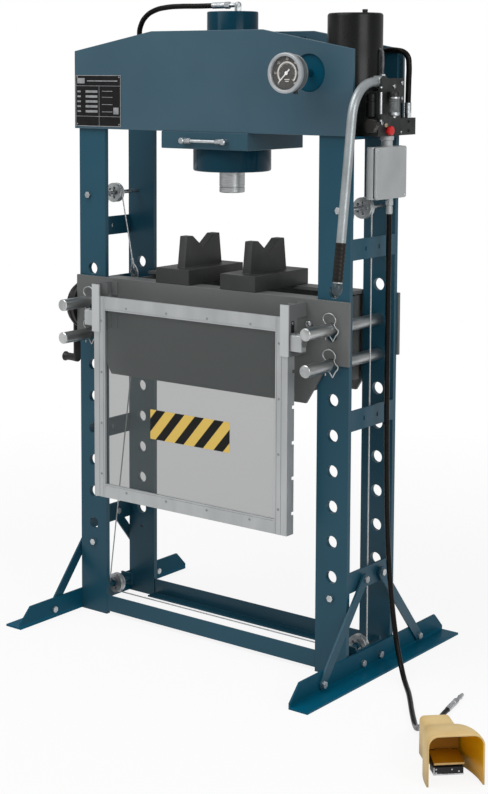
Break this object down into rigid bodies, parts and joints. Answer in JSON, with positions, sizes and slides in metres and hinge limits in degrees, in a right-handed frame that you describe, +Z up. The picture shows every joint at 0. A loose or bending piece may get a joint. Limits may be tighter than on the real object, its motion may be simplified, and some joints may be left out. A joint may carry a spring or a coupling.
{
  "type": "hydraulic press",
  "caption": "Floor-standing H-frame hydraulic press with an air and hand pump, a winch-lifted table on pins, a sliding guard and an air foot pedal.",
  "frame": {"origin": "on the floor, under the ram axis", "axes": "+Z up, -Y towards the operator, +X to the operator's right"},
  "size_m": [1.7275, 0.9855, 1.8865],
  "materials": {
    "frame_paint": "satin petrol-blue paint",
    "cylinder_black": "black paint",
    "bright_steel": "zinc-plated steel",
    "ram_steel": "hard-chromed ground steel",
    "pin_steel": "bright drawn steel",
    "pulley_zinc": "zinc-plated steel",
    "wire_rope": "galvanised strands",
    "hose_rubber": "matt black rubber",
    "black_plastic": "moulded black plastic",
    "gauge_rim": "polished steel ring",
    "dial_face": "matt dark dial",
    "needle_white": "matt white paint",
    "gauge_glass": "clear",
    "pump_casting": "black painted casting",
    "switch_alloy": "grey painted alloy",
    "button_red": "gloss red",
    "table_paint": "satin grey paint",
    "vee_paint": "charcoal paint",
    "guard_alloy": "satin anodised",
    "guard_clear": "clear polycarbonate",
    "pedal_ochre": "moulded yellow plastic",
    "pedal_dark": "dark moulded plastic"
  },
  "bodies": {
    "frame": {"left_uprights": "frame_paint", "right_uprights": "frame_paint", "beam_front_plate": "frame_paint", "beam_rear_plate": "frame_paint", "beam_webs": "frame_paint", "cylinder_carrier": "frame_paint", "side_straps": "frame_paint", "left_foot": "frame_paint", "right_foot": "frame_paint", "foot_braces": "frame_paint", "tie_angles": "frame_paint", "frame_bolts": "bright_steel", "cylinder_barrel": "frame_paint", "cylinder_collar": "frame_paint", "pressure_hose": "hose_rubber", "hose_fittings": "bright_steel", "gauge_case": "black_plastic", "gauge_bezel": "gauge_rim", "gauge_dial": "dial_face", "gauge_lens": "gauge_glass", "oil_tank": "cylinder_black", "pump_body": "pump_casting", "air_filter": "pump_casting", "switch_box": "switch_alloy", "hose_gland": "switch_alloy", "pulley_brackets": "bright_steel", "hanging_ropes": "wire_rope", "lower_rope": "wire_rope", "running_ropes": "wire_rope", "winch_gearbox": "cylinder_black", "pedal_hood": "pedal_ochre", "pedal_base": "pedal_dark", "pedal_hose": "hose_rubber", "tail_hose": "hose_rubber", "air_nipple": "bright_steel"},
    "ram": {"ram_rod": "ram_steel", "ram_nose": "ram_steel"},
    "table": {"table_front_plate": "table_paint", "table_rear_plate": "table_paint", "table_spacers": "table_paint", "vee_blocks": "vee_paint", "guard_guides": "guard_alloy"},
    "guard": {"guard_frame": "guard_alloy", "guard_panel": "guard_clear"},
    "lever": {"pump_lever": "bright_steel", "lever_grip": "black_plastic"},
    "drum": {"winch_drum": "bright_steel"},
    "crank": {"winch_crank": "cylinder_black"},
    "top_left_wheel": {"top_left_pulley": "pulley_zinc"},
    "top_right_wheel": {"top_right_pulley": "pulley_zinc"},
    "bottom_left_wheel": {"bottom_left_pulley": "pulley_zinc"},
    "bottom_right_wheel": {"bottom_right_pulley": "pulley_zinc"},
    "left_upper_bar": {"left_upper_pin": "pin_steel"},
    "left_lower_bar": {"left_lower_pin": "pin_steel"},
    "right_upper_bar": {"right_upper_pin": "pin_steel"},
    "right_lower_bar": {"right_lower_pin": "pin_steel"},
    "needle": {"gauge_needle": "needle_white"},
    "knob": {"release_knob": "black_plastic"},
    "button": {"red_button": "button_red"},
    "treadle": {"pedal_treadle": "pedal_ochre"}
  },
  "joints": [
    {"name": "ram_press", "type": "slide", "parent": "frame", "child": "ram", "axis": [0, 0, -1], "range_m": [0, 0.18], "stiffness_N_per_m": 1500, "springref_m": -0.15},
    {"name": "table_lift", "type": "slide", "parent": "frame", "child": "table", "axis": [0, 0, 1], "range_m": [0, 0.018], "deforming": ["hanging_ropes", "lower_rope"]},
    {"name": "guard_slide", "type": "slide", "parent": "table", "child": "guard", "axis": [0, 0, 1], "range_m": [0, 0.35]},
    {"name": "lever_swing", "type": "hinge", "parent": "frame", "child": "lever", "pos_m": [0.53, -0.045, 1.657], "axis": [-1, 0, 0], "range_deg": [0, 65]},
    {"name": "drum_turn", "type": "hinge", "parent": "frame", "child": "drum", "pos_m": [-0.475, -0.075, 0.96], "axis": [1, 0, 0], "range_deg": [-39, 0]},
    {"name": "crank_turn", "type": "hinge", "parent": "frame", "child": "crank", "pos_m": [-0.54, -0.075, 0.96], "axis": [1, 0, 0], "range_deg": [-192, 0]},
    {"name": "top_left_turn", "type": "hinge", "parent": "frame", "child": "top_left_wheel", "pos_m": [-0.457, 0, 1.308], "axis": [0, 1, 0], "range_deg": [-39, 0]},
    {"name": "top_right_turn", "type": "hinge", "parent": "frame", "child": "top_right_wheel", "pos_m": [0.457, 0, 1.308], "axis": [0, 1, 0], "range_deg": [0, 39]},
    {"name": "bottom_left_turn", "type": "hinge", "parent": "frame", "child": "bottom_left_wheel", "pos_m": [-0.457, 0, 0.058], "axis": [0, 1, 0], "range_deg": [0, 39]},
    {"name": "bottom_right_turn", "type": "hinge", "parent": "frame", "child": "bottom_right_wheel", "pos_m": [0.457, 0, 0.058], "axis": [0, 1, 0], "range_deg": [0, 39]},
    {"name": "left_upper_draw", "type": "slide", "parent": "frame", "child": "left_upper_bar", "axis": [0, -1, 0], "range_m": [0, 0.28]},
    {"name": "left_lower_draw", "type": "slide", "parent": "frame", "child": "left_lower_bar", "axis": [0, -1, 0], "range_m": [0, 0.28]},
    {"name": "right_upper_draw", "type": "slide", "parent": "frame", "child": "right_upper_bar", "axis": [0, -1, 0], "range_m": [0, 0.28]},
    {"name": "right_lower_draw", "type": "slide", "parent": "frame", "child": "right_lower_bar", "axis": [0, -1, 0], "range_m": [0, 0.28]},
    {"name": "needle_turn", "type": "hinge", "parent": "frame", "child": "needle", "pos_m": [0.36, -0.24, 1.681], "axis": [0, 1, 0], "range_deg": [0, 270]},
    {"name": "knob_turn", "type": "hinge", "parent": "frame", "child": "knob", "pos_m": [0.533, -0.08, 1.54], "axis": [0, 1, 0], "range_deg": [0, 270]},
    {"name": "button_push", "type": "slide", "parent": "frame", "child": "button", "axis": [-1, 0, 0], "range_m": [0, 0.004], "stiffness_N_per_m": 800, "springref_m": -0.004},
    {"name": "treadle_press", "type": "hinge", "parent": "frame", "child": "treadle", "pos_m": [0.98815, -0.45115, 0.045], "axis": [0.7071, 0.7071, 0], "range_deg": [0, 5], "stiffness_Nm_per_rad": 2, "springref_deg": -8.59}
  ],
  "couplings": [
    {"joint": "drum_turn", "follows": "table_lift", "rad_per_m": -37.037},
    {"joint": "crank_turn", "follows": "table_lift", "rad_per_m": -185.19},
    {"joint": "top_left_turn", "follows": "table_lift", "rad_per_m": -37.037},
    {"joint": "top_right_turn", "follows": "table_lift", "rad_per_m": 37.037},
    {"joint": "bottom_left_turn", "follows": "table_lift", "rad_per_m": 37.037},
    {"joint": "bottom_right_turn", "follows": "table_lift", "rad_per_m": 37.037}
  ]
}
